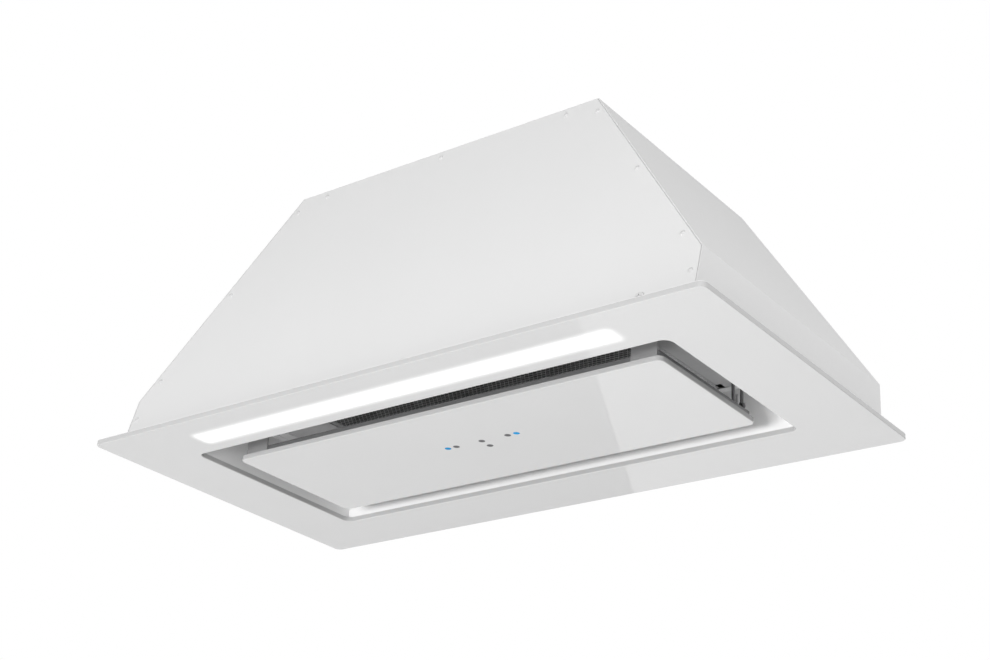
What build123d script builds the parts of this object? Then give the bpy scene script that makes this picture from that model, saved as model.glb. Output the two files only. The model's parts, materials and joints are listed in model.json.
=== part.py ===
from build123d import *
import math
import os

# Built-in range hood. Millimetres, X to the right, Y to the wall behind, Z up.
# The origin is the middle of the glass frame's underside.

# Glass frame
frame_width = 880.0
frame_depth = 465.0
side_border = 95.0
end_border = 88.5
glass_thickness = 6.0
glass_bevel = 0.8
frame_corner_radius = 9.0
opening_corner_radius = 11.0

# Base plate of steel, bonded to the back of the glass frame
base_sheet = 0.8
base_setback = 0.5
base_lip_height = 28.0
base_lip_end_gap = 4.0

# Foam seal on the base plate, where the cabinet's lower edges rest
seal_width = 10.0
seal_thickness = 2.0
seal_inset = 7.0

# Housing: a box with a leaning front, upright sides to the bend and sloping sides above it
housing_side_rim = 25.0
housing_front_rim = 24.5
housing_rear_rim = 16.5
front_setback = 86.0
housing_top = 346.0
top_width = 464.0
bend_height = 70.0
panel_sheet = 1.0
side_sheet = 0.8
side_reveal = 1.6
side_flange = 18.0
top_flange = 14.0

# Blind rivets and pan head screws of the housing
rivet_head_radius = 3.2
rivet_head_height = 1.5
rivet_shank_radius = 1.6
rivet_bulb_radius = 2.4
rivet_tail = 4.0
rivet_edge_distance = 10.0
slope_rivet_heights = (94.0, 210.0, 324.0)
upright_rivet_height = 40.0
top_rivet_inset = 44.0
screw_head_radius = 5.5
screw_head_height = 2.4
screw_slot_length = 6.0
screw_slot_width = 1.1
screw_shank_radius = 2.0
panel_screw_length = 3.2
plate_screw_length = 5.0
screw_end_inset = 67.0
screw_end_height = 22.0
screw_middle_x = 36.0
screw_middle_height = 18.0

# Recess above the opening
recess_wall = 0.8
recess_top = 70.0
recess_foot = 12.0
recess_lip = 10.0

# Filter shelf and its side rails
shelf_sheet = 1.0
shelf_side_gap = 27.0
shelf_flange = 12.0
aperture_side_margin = 71.0
rail_sheet = 1.0
rail_gap = 1.5
rail_overlap = 16.0
finger_notch_width = 7.0
finger_notch_length = 12.0

# Grease filter
filter_clearance = 1.0
filter_mesh_sheet = 0.6
filter_frame_height = 9.0
filter_frame_wall = 0.8
filter_frame_lip = 8.0
filter_pad_clearance = 0.4
mesh_columns = 13
mesh_rows = 9
mesh_strand = 4.0
retainer_radius = 1.5
retainer_count = 5
spring_sheet = 0.6
spring_width = 20.0
spring_nose_gap = 0.3
spring_nose_rise = 2.0
spring_foot = 14.0
spring_y = 62.0

# Suction panel, the glass sheet that fills the opening
panel_side_gap = 33.0
panel_end_gap = 40.0
panel_corner_radius = 9.0
tray_inset = 6.0
tray_sheet = 0.8
tray_rim = 8.0

# Round windows in the suction panel
lens_radius = 4.0
lens_clearance = 0.1
lens_flange = 1.2
lens_height = 1.2
signal_lens_x = 51.6
sensor_lens_x = 38.6
lens_row_y = -8.0
centre_lens_y = 8.6

# Sensor board on the tray, and its cover
board_width = 124.0
board_depth = 44.0
board_thickness = 1.6
board_lift = 5.0
post_radius = 3.0
post_inset = 6.0
cover_wall = 1.5
cover_height = 16.0
cover_gap = 1.0

# Hinge of the suction panel
hinge_inset = 15.5
hinge_z = 24.0
hinge_pin_radius = 2.0
hinge_pin_clearance = 0.05
hinge_eye_radius = 5.0
hanger_leg = 1.5
hanger_span = 13.0
hanger_depth = 5.0
hanger_plate_depth = 16.0
lug_thickness = 3.0
lug_radius = 5.0
lug_stop_height = 15.0
lug_stop_depth = 4.0
lug_foot_width = 12.0
lug_foot_depth = 22.0
lug_foot_sheet = 1.5
pin_head_radius = 3.4
pin_head_height = 2.4
pin_head_edge = 0.8

# Catches at the front of the suction panel
catch_end_gap = 2.0
catch_width = 34.0
catch_sheet = 1.2
catch_drop = 8.0
catch_strike_depth = 14.0
catch_air_gap = 0.5
magnet_radius = 6.0
magnet_height = 4.0
magnet_case_depth = 20.0

# Light in the front border
light_width = 28.0
light_setback = 47.0
diffuser_overlap = 1.0
diffuser_thickness = 2.2
channel_wall = 1.0
channel_height = 11.0
light_board_width = 12.0
light_board_thickness = 1.6
light_board_end = 8.0
light_chip_size = 5.0
light_chip_height = 1.0
light_chip_count = 20
driver_width = 34.0
driver_length = 110.0
driver_height = 24.0
driver_gap = 19.0

# Blower: an impeller with two inlets in a scroll of quarter arcs
blower_setback = 193.0
blower_z = 222.0
impeller_radius = 80.0
blade_inner_radius = 64.0
impeller_half_width = 64.0
blade_count = 36
blade_thickness = 1.2
blade_sweep_degrees = 15.0
impeller_ring_width = 4.0
impeller_disc = 1.5
hub_radius = 12.0
hub_half_length = 12.0
shaft_radius = 4.0
shaft_clearance = 0.05
shaft_overhang = 4.0
scroll_half_width = 80.0
scroll_sheet = 0.8
scroll_step = 18.0
scroll_first_radius = 97.0
tongue_radius = 12.0
tongue_offset = 8.0
outlet_flange = 14.0
bell_throat_radius = 64.0
bell_radius = 14.0
bell_sheet = 1.2
bell_flange = 8.0
bell_hole_gap = 0.5

# Motor outside the left inlet, on a spider of three arms
motor_radius = 43.0
motor_length = 60.0
motor_edge = 8.0
spider_standoff = 14.0
spider_sheet = 2.0
spider_ring_radius = 30.0
spider_arm_width = 12.0
spider_reach = 84.0
motor_bore_depth = 52.0

# Outlet spigot with two flaps on one axle
spigot_radius = 74.5
spigot_wall = 1.5
spigot_height = 45.0
spigot_plate = 176.0
spigot_plate_sheet = 2.0
spigot_offset = 81.0
outlet_hole_margin = 2.0
axle_height = 16.0
axle_radius = 2.0
axle_clearance = 0.05
knuckle_radius = 3.6
flap_sheet = 1.2
flap_drop = 2.7
flap_edge_gap = 1.5
flap_split_gap = 4.6
knuckle_length = 18.0
knuckle_gap = 1.0
stop_width = 3.5
stop_sheet = 2.0
stop_gap = 0.3

# Fastening, wiring and control on the top panel
hanging_side_inset = 32.0
hanging_end_inset = 39.0
hanging_hole_radius = 3.25
plate_screw_inset = 10.0
control_flange_gap = 16.0
control_edge_inset = 22.0
control_depth = 120.0
control_height = 40.0
control_wall = 2.0
control_lid = 2.0
control_board_sheet = 1.6
control_board_lift = 8.0
service_row_setback = 106.0
capacitor_inset = 42.0
capacitor_radius = 16.0
capacitor_height = 55.0
gland_inset = 82.0
gland_radius = 12.0
gland_thread_radius = 8.0
gland_hole_radius = 8.3
gland_height = 14.0
gland_bore_radius = 4.0
gland_nut_height = 5.0

# Widths and depths that follow from the frame
opening_width = frame_width - 2 * side_border
opening_depth = frame_depth - 2 * end_border
housing_width = frame_width - 2 * housing_side_rim
half_housing = housing_width / 2
half_top = top_width / 2
front_bottom_y = housing_front_rim - frame_depth / 2
front_top_y = front_bottom_y + front_setback
rear_y = frame_depth / 2 - housing_rear_rim
shelf_width = opening_width - 2 * shelf_side_gap
aperture_width = shelf_width - 2 * aperture_side_margin
aperture_depth = opening_depth - 2 * recess_lip
panel_width = opening_width - 2 * panel_side_gap
panel_depth = opening_depth - 2 * panel_end_gap
tray_width = panel_width - 2 * tray_inset
tray_depth = panel_depth - 2 * tray_inset

# Places that follow from them
top_rivet_x = half_top - top_rivet_inset
screw_end_x = half_housing - screw_end_inset
hinge_x = tray_width / 2 - hinge_inset
hinge_y = tray_depth / 2
catch_inner_x = tray_width / 2 - catch_end_gap - catch_width
light_length = panel_width
light_y = light_setback - frame_depth / 2
driver_x = half_housing - driver_gap - driver_width / 2
blower_y = front_bottom_y + blower_setback
spigot_y = blower_y + spigot_offset
hanging_x = half_top - hanging_side_inset
hanging_y = (front_top_y + rear_y) / 2
hanging_pitch_y = rear_y - front_top_y - 2 * hanging_end_inset
service_y = rear_y - service_row_setback
control_low_x = scroll_half_width + outlet_flange + control_flange_gap
control_high_x = half_top - control_edge_inset
control_width = control_high_x - control_low_x
control_x = (control_low_x + control_high_x) / 2
capacitor_x = half_top - capacitor_inset
gland_x = half_top - gland_inset

# Levels and slopes
base_top = glass_thickness + base_sheet
slope = (half_housing - half_top) / (housing_top - bend_height)
slope_angle = math.atan(slope)
lean = (front_top_y - front_bottom_y) / (housing_top - base_top)
lean_angle = math.atan(lean)
top_under = housing_top - panel_sheet
shelf_top = recess_top + shelf_sheet
tray_top = glass_thickness + tray_sheet
catch_height = recess_top - catch_drop


def block(x_low, x_high, y_low, y_high, z_low, z_high):
    """A box between two limits on each axis."""
    size = (x_high - x_low, y_high - y_low, z_high - z_low)
    return Pos(x_low, y_low, z_low) * Box(*size, align=(Align.MIN, Align.MIN, Align.MIN))


def slab(width, depth, radius, z_low, z_high):
    """A centred plate with rounded corners."""
    return Pos(0, 0, z_low) * extrude(RectangleRounded(width, depth, radius), z_high - z_low)


def prism_x(points, x_low, x_high):
    """An outline of (y, z) points, extruded along X."""
    outline = make_face(Polyline(*points, close=True))
    return extrude(Plane.YZ.offset(x_low) * outline, x_high - x_low)


def prism_y(points, y_low, y_high):
    """An outline of (x, z) points, extruded along Y."""
    outline = make_face(Polyline(*points, close=True))
    return extrude(Plane.XZ.offset(-y_high) * outline, y_high - y_low)


def both_sides(solid):
    """A solid and its mirror image across the middle of the hood."""
    return [solid, mirror(solid, about=Plane.YZ)]


def front_at(height):
    """Y of the front panel's outer face at a height."""
    return front_bottom_y + lean * (height - base_top)


def half_width_at(height, inset):
    """Half width of the housing at a height, measured in from its outer face."""
    bend = bend_height - inset * math.tan(slope_angle / 2)
    if height <= bend:
        return half_housing - inset
    return half_housing + slope * (bend_height - height) - inset / math.cos(slope_angle)


def housing_section(inset, z_low, z_high):
    """The housing's outline of (x, z) points between two heights."""
    bend = bend_height - inset * math.tan(slope_angle / 2)
    right = [(half_width_at(z_low, inset), z_low)]
    right.append((half_width_at(bend, inset), bend))
    right.append((half_width_at(z_high, inset), z_high))
    left = [(-x, z) for x, z in reversed(right)]
    return right + left


def side_band(outer, inner, y_low, y_high):
    """The right side of the housing between two insets, as a bent plate."""
    section = []
    for inset in (outer, inner):
        bend = bend_height - inset * math.tan(slope_angle / 2)
        line = [(half_width_at(base_top, inset), base_top)]
        line.append((half_width_at(bend, inset), bend))
        line.append((half_width_at(housing_top, inset), housing_top))
        section += line if inset == outer else line[::-1]
    return prism_y(section, y_low, y_high)


def front_layer(near, far, z_low, z_high):
    """A layer of the leaning front, between two depths behind its outer face."""
    shift = math.cos(lean_angle)
    points = [(front_at(z_low) + near / shift, z_low), (front_at(z_low) + far / shift, z_low)]
    points += [(front_at(z_high) + far / shift, z_high), (front_at(z_high) + near / shift, z_high)]
    return prism_x(points, -half_housing, half_housing)


def between_faces(front_depth, rear_depth, z_low, z_high):
    """The space from a depth behind the front to a depth before the rear."""
    shift = front_depth / math.cos(lean_angle)
    points = [(front_at(z_low) + shift, z_low), (rear_y - rear_depth, z_low)]
    points += [(rear_y - rear_depth, z_high), (front_at(z_high) + shift, z_high)]
    return prism_x(points, -half_housing, half_housing)


def glass_frame():
    """Glass plate with a cut-out and a small polished bevel along its lower edges."""
    outer = slab(frame_width, frame_depth, frame_corner_radius, 0, glass_thickness)
    inner = slab(opening_width, opening_depth, opening_corner_radius, 0, glass_thickness)
    glass = outer - inner
    lower = glass.faces().sort_by(Axis.Z)[0]
    return chamfer(lower.edges(), glass_bevel)


def base_plate():
    """Steel plate behind the glass, with leaning lips that carry the front and rear panels."""
    setback = 2 * base_setback
    corner = frame_corner_radius - base_setback
    plate = slab(frame_width - setback, frame_depth - setback, corner, glass_thickness, base_top)
    plate -= block(-opening_width / 2, opening_width / 2, -opening_depth / 2, opening_depth / 2,
                   glass_thickness, base_top)
    plate -= block(-light_length / 2, light_length / 2, light_y - light_width / 2,
                   light_y + light_width / 2, glass_thickness, base_top)
    reach = half_housing - side_flange - base_lip_end_gap
    lip_top = base_top + base_lip_height
    front_lip = front_layer(panel_sheet, panel_sheet + base_sheet, glass_thickness, lip_top)
    front_lip &= block(-reach, reach, front_bottom_y, 0, glass_thickness, lip_top)
    lip_face = rear_y - panel_sheet
    rear_lip = block(-reach, reach, lip_face - base_sheet, lip_face, glass_thickness, lip_top)
    return drilled(plate + front_lip + rear_lip, screw_planes(), screw_shank_radius)


def cabinet_seal():
    """Foam strips beside and before the housing, under the cabinet's sides and front."""
    outer_x = frame_width / 2 - seal_inset
    outer_y = frame_depth / 2 - seal_inset
    inner_x = outer_x - seal_width
    top = base_top + seal_thickness
    side = block(inner_x, outer_x, -outer_y, outer_y, base_top, top)
    front = block(-inner_x, inner_x, -outer_y, seal_width - outer_y, base_top, top)
    return both_sides(side) + [front]


def front_panel():
    """Six-sided sheet that leans back, set a little inside the side sheets."""
    sheet = prism_y(housing_section(side_reveal, base_top, housing_top), -frame_depth, frame_depth)
    sheet &= front_layer(0, panel_sheet, base_top, housing_top)
    sheet = drilled(sheet, rivet_planes(), rivet_shank_radius)
    return drilled(sheet, screw_planes(), screw_shank_radius)


def rear_panel():
    """The same outline, upright against the wall."""
    sheet = prism_y(housing_section(side_reveal, base_top, housing_top), rear_y - panel_sheet, rear_y)
    sheet = drilled(sheet, rivet_planes(), rivet_shank_radius)
    return drilled(sheet, screw_planes(), screw_shank_radius)


def side_panel():
    """Bent side sheet with flanges behind the front, the rear and the top panel."""
    depth = panel_sheet + side_sheet
    wall = side_band(0, side_sheet, -frame_depth, frame_depth)
    wall &= between_faces(0, 0, base_top, housing_top)
    band = side_band(0, side_flange, -frame_depth, frame_depth)
    front_flange = band & front_layer(panel_sheet, depth, base_top, top_under)
    rear_flange = side_band(0, side_flange, rear_y - depth, rear_y - panel_sheet)
    rear_flange &= between_faces(0, 0, base_top, top_under)
    upper = between_faces(panel_sheet, panel_sheet, top_under - side_sheet, top_under)
    upper &= prism_y(housing_section(0, top_under - side_sheet, top_under), -frame_depth, frame_depth)
    upper &= block(half_top - top_flange, half_housing, -frame_depth, frame_depth, 0, housing_top)
    return drilled(wall + front_flange + rear_flange + upper, rivet_planes(), rivet_shank_radius)


def top_panel():
    """Flat top sheet with the outlet, the hanging holes and the cable hole."""
    panel = between_faces(panel_sheet, panel_sheet, top_under, housing_top)
    panel &= prism_y(housing_section(side_sheet, top_under, housing_top), -frame_depth, frame_depth)
    y_low, y_high = outlet_range()
    panel -= block(-scroll_half_width + outlet_hole_margin, scroll_half_width - outlet_hole_margin,
                   y_low + outlet_hole_margin, y_high - outlet_hole_margin, top_under, housing_top)
    for x, y in hanging_points():
        panel -= Pos(x, y, top_under) * Cylinder(hanging_hole_radius, 4 * panel_sheet)
    panel -= Pos(gland_x, service_y, top_under) * Cylinder(gland_hole_radius, 4 * panel_sheet)
    return drilled(panel, plate_screw_planes(), screw_shank_radius)


def hanging_points():
    """Places of the four holes that the hood hangs from."""
    rows = (hanging_y - hanging_pitch_y / 2, hanging_y + hanging_pitch_y / 2)
    return [(x, y) for x in (-hanging_x, hanging_x) for y in rows]


def rivet():
    """Blind rivet on the Z axis: dome head above zero, shank and bulb below."""
    middle = (0.72 * rivet_head_radius, 0.69 * rivet_head_height)
    dome = ThreePointArc((0, rivet_head_height), middle, (rivet_head_radius, 0))
    grip = panel_sheet + side_sheet
    bulb_end = grip + rivet_tail / 2
    end = grip + rivet_tail
    stem = Polyline((rivet_head_radius, 0), (rivet_shank_radius, 0), (rivet_shank_radius, -grip),
                    (rivet_bulb_radius, -grip), (rivet_bulb_radius, -bulb_end),
                    (rivet_shank_radius, -bulb_end), (rivet_shank_radius, -end), (0, -end),
                    (0, rivet_head_height))
    return revolve(Plane.XZ * make_face([dome, stem]), Axis.Z)


def pan_screw(length):
    """Pan head screw on the Z axis with a cross recess, its head above zero."""
    up = (Align.CENTER, Align.CENTER, Align.MIN)
    head = Cylinder(screw_head_radius, screw_head_height, align=up)
    head = fillet(head.edges().sort_by(Axis.Z)[-1], screw_head_height / 2)
    recess = screw_head_height / 2
    for turn in (0, 90):
        slot = Box(screw_slot_length, screw_slot_width, recess, align=up)
        head -= Pos(0, 0, screw_head_height - recess) * Rot(0, 0, turn) * slot
    down = (Align.CENTER, Align.CENTER, Align.MAX)
    return head + Cylinder(screw_shank_radius, length, align=down)


def on_front(x, height):
    """A plane on the leaning front, its Z axis pointing out of it."""
    outward = (0, -math.cos(lean_angle), math.sin(lean_angle))
    return Plane(origin=(x, front_at(height), height), x_dir=(1, 0, 0), z_dir=outward)


def on_rear(x, height):
    """A plane on the rear panel, its Z axis pointing to the wall."""
    return Plane(origin=(x, rear_y, height), x_dir=(-1, 0, 0), z_dir=(0, 1, 0))


def drilled(solid, planes, radius):
    """A solid with a hole for a fastener on each plane's Z axis."""
    for plane in planes:
        solid -= plane * Cylinder(radius, 2 * side_flange)
    return solid


def rivet_points():
    """Places of the rivets along the upright and sloping edges."""
    points = [(half_width_at(upright_rivet_height, rivet_edge_distance), upright_rivet_height)]
    for height in slope_rivet_heights:
        points.append((half_width_at(height, rivet_edge_distance), height))
    return points + [(-x, z) for x, z in points]


def top_rivets():
    """Places of the rivets through the angle strips under the top panel."""
    height = housing_top - rivet_edge_distance
    return [(x, height) for x in (-top_rivet_x, 0, top_rivet_x)]


def rivet_planes():
    """Every rivet's plane, front and rear."""
    places = rivet_points() + top_rivets()
    return [on_front(x, z) for x, z in places] + [on_rear(x, z) for x, z in places]


def screw_planes():
    """Planes of the screws into the base plate's lips: at the right and the middle, front and rear."""
    places = [(screw_end_x, screw_end_height), (screw_middle_x, screw_middle_height)]
    return [on_front(x, z) for x, z in places] + [on_rear(x, z) for x, z in places]


def top_angle(face_depth, place):
    """Angle strip under the top panel that the front or rear panel is riveted to."""
    reach = half_width_at(top_under, side_flange) - side_sheet
    drop = 2 * rivet_edge_distance
    leg = top_flange
    if place == "front":
        upright = front_layer(face_depth, face_depth + side_sheet, top_under - drop, top_under)
        y_low = front_at(top_under)
        foot = block(-reach, reach, y_low, y_low + leg, top_under - side_sheet, top_under)
        foot &= between_faces(face_depth, 0, top_under - drop, top_under)
    else:
        upright = block(-reach, reach, rear_y - face_depth - side_sheet, rear_y - face_depth,
                        top_under - drop, top_under)
        foot = block(-reach, reach, rear_y - face_depth - leg, rear_y - face_depth,
                     top_under - side_sheet, top_under)
    limit = block(-reach, reach, -frame_depth, frame_depth, 0, housing_top)
    return drilled((upright & limit) + foot, rivet_planes(), rivet_shank_radius)


def recess_long_walls():
    """Front and rear walls of the recess: foot outwards, lip inwards at the top."""
    face = opening_depth / 2
    foot_top = base_top + recess_wall
    section = [(-face, base_top), (-face - recess_foot, base_top), (-face - recess_foot, foot_top)]
    section += [(-face - recess_wall, foot_top), (-face - recess_wall, recess_top)]
    section += [(-face + recess_lip, recess_top), (-face + recess_lip, recess_top - recess_wall)]
    section += [(-face, recess_top - recess_wall)]
    wall = prism_x(section, -opening_width / 2, opening_width / 2)
    return [wall, mirror(wall, about=Plane.XZ)]


def recess_short_walls():
    """Side walls of the recess, between the long walls."""
    face = opening_width / 2
    foot_top = base_top + recess_wall
    section = [(face, base_top), (face + recess_foot, base_top), (face + recess_foot, foot_top)]
    section += [(face + recess_wall, foot_top), (face + recess_wall, recess_top)]
    section += [(face - recess_lip, recess_top), (face - recess_lip, recess_top - recess_wall)]
    section += [(face, recess_top - recess_wall)]
    wall = prism_y(section, -opening_depth / 2, opening_depth / 2)
    lip_end = aperture_depth / 2
    for low, high in ((-opening_depth / 2, -lip_end), (lip_end, opening_depth / 2)):
        wall -= block(face - recess_lip, face, low, high, recess_top - recess_wall, recess_top)
    return both_sides(wall)


def filter_shelf():
    """Sheet over the recess with the filter's aperture and two finger notches."""
    half_x = shelf_width / 2
    half_y = opening_depth / 2
    sheet = block(-half_x, half_x, -half_y, half_y, recess_top, shelf_top)
    half_aperture = aperture_width / 2
    aperture_y = aperture_depth / 2
    sheet -= block(-half_aperture, half_aperture, -aperture_y, aperture_y, recess_top, shelf_top)
    reach = half_aperture + finger_notch_width
    sheet -= block(-reach, reach, aperture_y - finger_notch_length, aperture_y, recess_top, shelf_top)
    for side in (-1, 1):
        near = side * half_y
        far = side * (half_y - shelf_sheet)
        sheet += block(-half_x, half_x, min(near, far), max(near, far), shelf_top, shelf_top + shelf_flange)
    return sheet


def shelf_rails():
    """Stepped rails that join the shelf to the side walls and leave a dark joint line."""
    inner = shelf_width / 2 + rail_gap
    outer = opening_width / 2 + recess_wall
    step = shelf_top + rail_sheet
    section = [(outer, recess_top), (inner, recess_top), (inner, shelf_top)]
    section += [(shelf_width / 2 - rail_overlap, shelf_top), (shelf_width / 2 - rail_overlap, step)]
    section += [(inner + rail_sheet, step), (inner + rail_sheet, recess_top + rail_sheet)]
    section += [(outer, recess_top + rail_sheet)]
    half_y = opening_depth / 2 - shelf_sheet
    return both_sides(prism_y(section, -half_y, half_y))


def filter_half_sizes():
    """Half width and half depth of the filter in its aperture."""
    return aperture_width / 2 - filter_clearance, aperture_depth / 2 - filter_clearance


def filter_frame():
    """Channel frame of the filter, open to its inside."""
    half_x, half_y = filter_half_sizes()
    low = recess_top + filter_mesh_sheet
    high = low + filter_frame_height
    wall = filter_frame_wall
    lip = filter_frame_lip
    frame = block(-half_x, half_x, -half_y, half_y, low, high)
    frame -= block(-half_x + lip, half_x - lip, -half_y + lip, half_y - lip, low, high)
    frame -= block(-half_x + wall, half_x - wall, -half_y + wall, half_y - wall, low + wall, high - wall)
    return frame


def filter_mesh():
    """Expanded metal sheet of the filter, with staggered diamond gaps."""
    half_x, half_y = filter_half_sizes()
    open_x = 2 * (half_x - filter_frame_lip)
    open_y = 2 * (half_y - filter_frame_lip)
    pitch_x = open_x / mesh_columns
    pitch_y = open_y / mesh_rows
    long_half = pitch_x / 2 - mesh_strand / 2
    short_half = pitch_y / 2 - mesh_strand / 2
    corners = [(long_half, 0), (0, short_half), (-long_half, 0), (0, -short_half)]
    diamond = make_face(Polyline(*corners, close=True))
    sheet = Rectangle(2 * half_x, 2 * half_y)
    centres = []
    for column in range(mesh_columns):
        for row in range(mesh_rows):
            centres.append(((column + 0.5) * pitch_x - open_x / 2, (row + 0.5) * pitch_y - open_y / 2))
    for column in range(1, mesh_columns):
        for row in range(1, mesh_rows):
            centres.append((column * pitch_x - open_x / 2, row * pitch_y - open_y / 2))
    sheet -= [Pos(x, y) * diamond for x, y in centres]
    return extrude(Pos(0, 0, recess_top) * sheet, filter_mesh_sheet)


def filter_pad():
    """Block of crumpled mesh layers inside the channel frame."""
    half_x, half_y = filter_half_sizes()
    inset = filter_frame_wall + filter_pad_clearance
    low = recess_top + filter_mesh_sheet + inset
    high = recess_top + filter_mesh_sheet + filter_frame_height - inset - 2 * retainer_radius
    return block(-half_x + inset, half_x - inset, -half_y + inset, half_y - inset, low, high)


def filter_retainers():
    """Round rods across the frame that hold the pad down from above."""
    half_x, half_y = filter_half_sizes()
    length = 2 * (half_y - filter_frame_wall)
    axis_z = recess_top + filter_mesh_sheet + filter_frame_height - filter_frame_wall - retainer_radius
    pitch = 2 * half_x / (retainer_count + 1)
    rod = Rot(90, 0, 0) * Cylinder(retainer_radius, length)
    return [Pos((number + 1) * pitch - half_x, 0, axis_z) * rod for number in range(retainer_count)]


def filter_springs():
    """Leaf springs on the shelf whose noses press on the filter's sides."""
    edge = aperture_width / 2
    half_x = filter_half_sizes()[0]
    nose = half_x + spring_nose_gap
    leaf = edge + spring_sheet / 2
    low = shelf_top
    middle = recess_top + filter_mesh_sheet + filter_frame_height / 2
    top = recess_top + filter_mesh_sheet + filter_frame_height
    rise = spring_nose_rise
    section = [(edge + spring_foot, low), (leaf, low), (leaf, middle - rise), (nose, middle)]
    section += [(leaf, middle + rise), (leaf, top), (leaf + spring_sheet, top)]
    section += [(leaf + spring_sheet, low + spring_sheet), (edge + spring_foot, low + spring_sheet)]
    springs = []
    for y in (-spring_y, spring_y):
        springs += both_sides(prism_y(section, y - spring_width / 2, y + spring_width / 2))
    return springs


def lens_places(kind):
    """Places of the round windows: signal lights at the ends, sensors between them."""
    if kind == "signal":
        return [(-signal_lens_x, lens_row_y), (signal_lens_x, lens_row_y)]
    row = [(-sensor_lens_x, lens_row_y), (0, lens_row_y), (sensor_lens_x, lens_row_y)]
    return row + [(0, centre_lens_y)]


def bore_lenses(solid):
    """The same solid with a hole at each round window."""
    for x, y in lens_places("signal") + lens_places("sensor"):
        solid -= Pos(x, y, glass_thickness) * Cylinder(lens_radius + lens_clearance, 4 * glass_thickness)
    return solid


def panel_glass():
    """Glass sheet of the suction panel with its bevel and the holes for the windows."""
    glass = slab(panel_width, panel_depth, panel_corner_radius, 0, glass_thickness)
    lower = glass.faces().sort_by(Axis.Z)[0]
    return bore_lenses(chamfer(lower.edges(), glass_bevel))


def panel_tray():
    """Shallow steel tray bonded behind the glass."""
    top = tray_top + tray_rim
    half_x = tray_width / 2
    half_y = tray_depth / 2
    tray = block(-half_x, half_x, -half_y, half_y, glass_thickness, top)
    tray -= block(-half_x + tray_sheet, half_x - tray_sheet, -half_y + tray_sheet, half_y - tray_sheet,
                  tray_top, top)
    return bore_lenses(tray)


def lenses(kind):
    """Stepped lenses, flush with the glass and seated on the tray."""
    lens = extrude(Circle(lens_radius), tray_top + lens_height)
    lens += extrude(Pos(0, 0, tray_top) * Circle(lens_radius + lens_flange), lens_height)
    return [Pos(x, y, 0) * lens for x, y in lens_places(kind)]


def board_posts():
    """Spacers between the tray and the sensor board."""
    x = board_width / 2 - post_inset
    y = board_depth / 2 - post_inset
    post = Cylinder(post_radius, board_lift, align=(Align.CENTER, Align.CENTER, Align.MIN))
    return [Pos(sx * x, sy * y, tray_top) * post for sx in (-1, 1) for sy in (-1, 1)]


def sensor_board():
    """Circuit board over the round windows."""
    low = tray_top + board_lift
    return block(-board_width / 2, board_width / 2, -board_depth / 2, board_depth / 2,
                 low, low + board_thickness)


def sensor_cover():
    """Moulded cover over the sensor board, open towards the tray."""
    half_x = board_width / 2 + cover_gap + cover_wall
    half_y = board_depth / 2 + cover_gap + cover_wall
    top = tray_top + cover_height
    cover = block(-half_x, half_x, -half_y, half_y, tray_top, top)
    cover = fillet(cover.edges().filter_by(Axis.Z), cover_wall)
    cover -= block(-half_x + cover_wall, half_x - cover_wall, -half_y + cover_wall, half_y - cover_wall,
                   tray_top, top - cover_wall)
    return cover


def hinge_hangers():
    """Forks below the shelf; each leg ends in an eye round the hinge pin."""
    hangers = []
    half_span = hanger_span / 2
    half_depth = hanger_depth / 2
    top = recess_top
    for low in (-half_span, half_span - hanger_leg):
        leg = block(hinge_x + low, hinge_x + low + hanger_leg, hinge_y - half_depth,
                    hinge_y + half_depth, hinge_z, top)
        eye = Plane.YZ.offset(hinge_x + low) * Pos(hinge_y, hinge_z) * Circle(hinge_eye_radius)
        hangers.append(leg + extrude(eye, hanger_leg))
    half_plate = hanger_plate_depth / 2
    plate = block(hinge_x - half_span, hinge_x + half_span, hinge_y - half_plate,
                  hinge_y + half_plate, top - hanger_leg, top)
    hanger = plate + hangers[0] + hangers[1]
    hole = Pos(hinge_x, hinge_y, hinge_z) * Rot(0, 90, 0)
    hanger -= hole * Cylinder(hinge_pin_radius + hinge_pin_clearance, 2 * hanger_span)
    return both_sides(hanger)


def hinge_lugs():
    """Lugs on the tray that reach over its rim to the hinge pin, each with a stop finger above it."""
    rim_face = tray_depth / 2 - tray_sheet - cover_gap
    foot_top = tray_top + lug_foot_sheet
    foot = block(hinge_x - lug_foot_width / 2, hinge_x + lug_foot_width / 2,
                 rim_face - lug_foot_depth, rim_face, tray_top, foot_top)
    neck = hinge_y - lug_radius
    points = [(rim_face - lug_foot_depth, tray_top), (rim_face, tray_top), (rim_face, hinge_z - lug_radius)]
    points += [(hinge_y, hinge_z), (hinge_y, hinge_z + lug_radius), (neck, hinge_z + lug_radius / 2)]
    web = prism_x(points, hinge_x - lug_thickness / 2, hinge_x + lug_thickness / 2)
    eye = Plane.YZ.offset(hinge_x - lug_thickness / 2) * Pos(hinge_y, hinge_z) * Circle(lug_radius)
    finger = block(hinge_x - lug_thickness / 2, hinge_x + lug_thickness / 2, hinge_y - lug_stop_depth / 2,
                   hinge_y + lug_stop_depth / 2, hinge_z, hinge_z + lug_stop_height)
    lug = foot + web + finger + extrude(eye, lug_thickness)
    hole = Pos(hinge_x, hinge_y, hinge_z) * Rot(0, 90, 0) * Cylinder(hinge_pin_radius, hanger_span)
    return both_sides(lug - hole)


def hinge_pins():
    """Headed pins pressed into the lugs; they turn in the hangers' eyes."""
    length = hanger_span + 2 * pin_head_height
    centre = Pos(hinge_x, hinge_y, hinge_z) * Rot(0, 90, 0)
    pin = centre * Cylinder(hinge_pin_radius, length)
    for side in (-1, 1):
        middle = side * (hanger_span / 2 + hinge_pin_clearance + pin_head_height / 2)
        head = Cylinder(pin_head_radius, pin_head_height)
        head = fillet(head.edges().filter_by(GeomType.CIRCLE), pin_head_edge)
        pin += centre * Pos(0, 0, middle) * head
    return both_sides(pin)


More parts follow.
